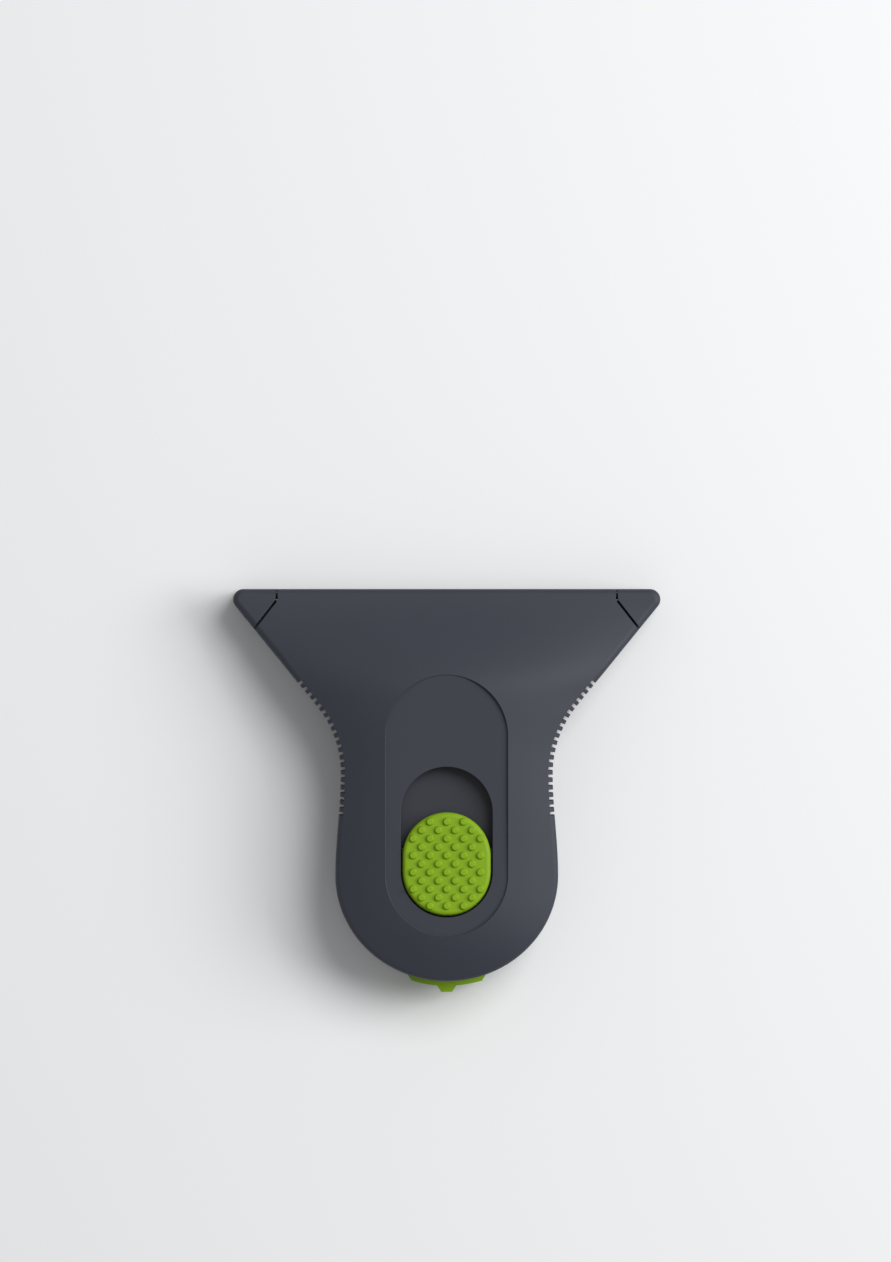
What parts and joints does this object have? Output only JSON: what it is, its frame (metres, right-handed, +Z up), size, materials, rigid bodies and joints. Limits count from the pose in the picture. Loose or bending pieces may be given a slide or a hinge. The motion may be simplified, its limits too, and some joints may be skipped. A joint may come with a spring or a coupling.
{
  "type": "hob scraper",
  "caption": "Palm-sized hob scraper with a sprung ceramic blade behind a thumb slide, a hinged cover over the blade and a sliding lock at the tail.",
  "frame": {"origin": "middle of the overall length and width, on the flat underside", "axes": "+Y towards the nose where the blade slides out, +Z up out of the crowned cover, +X along the blade's edge"},
  "size_m": [0.0634, 0.0598, 0.0147],
  "materials": {
    "body_plastic": "fine moulded texture",
    "plate_plastic": "satin",
    "carriage_plastic": "satin",
    "lime_plastic": "satin",
    "lime_rubber": "soft touch",
    "blade_ceramic": "ground",
    "screw_steel": "bright",
    "spring_steel": "drawn wire"
  },
  "bodies": {
    "housing": {"lower_shell": "body_plastic", "guide_plate": "plate_plastic", "guide_screw_front_left": "screw_steel", "guide_screw_front_right": "screw_steel", "guide_screw_rear_left": "screw_steel", "guide_screw_rear_right": "screw_steel", "return_spring_left": "spring_steel", "return_spring_right": "spring_steel", "spring_rod_left": "screw_steel", "spring_rod_right": "screw_steel", "hinge_pin_left": "screw_steel", "hinge_pin_right": "screw_steel"},
    "cover": {"top_cover": "body_plastic"},
    "slider": {"blade_carriage": "carriage_plastic", "ceramic_blade": "blade_ceramic", "button_base": "lime_plastic", "thumb_pad": "lime_rubber", "button_screw_front": "screw_steel", "button_screw_rear": "screw_steel"},
    "lock": {"tail_lock": "lime_plastic"}
  },
  "joints": [
    {"name": "blade_slide", "type": "slide", "parent": "housing", "child": "slider", "axis": [0, 1, 0], "range_m": [0, 0.0064], "stiffness_N_per_m": 250, "springref_m": -0.004, "deforming": ["return_spring_left", "return_spring_right"]},
    {"name": "cover_hinge", "type": "hinge", "parent": "housing", "child": "cover", "pos_m": [0, 0.0289, 0.007], "axis": [-1, 0, 0], "range_deg": [0, 80]},
    {"name": "lock_slide", "type": "slide", "parent": "housing", "child": "lock", "axis": [0, 1, 0], "range_m": [0, 0.0008]}
  ]
}
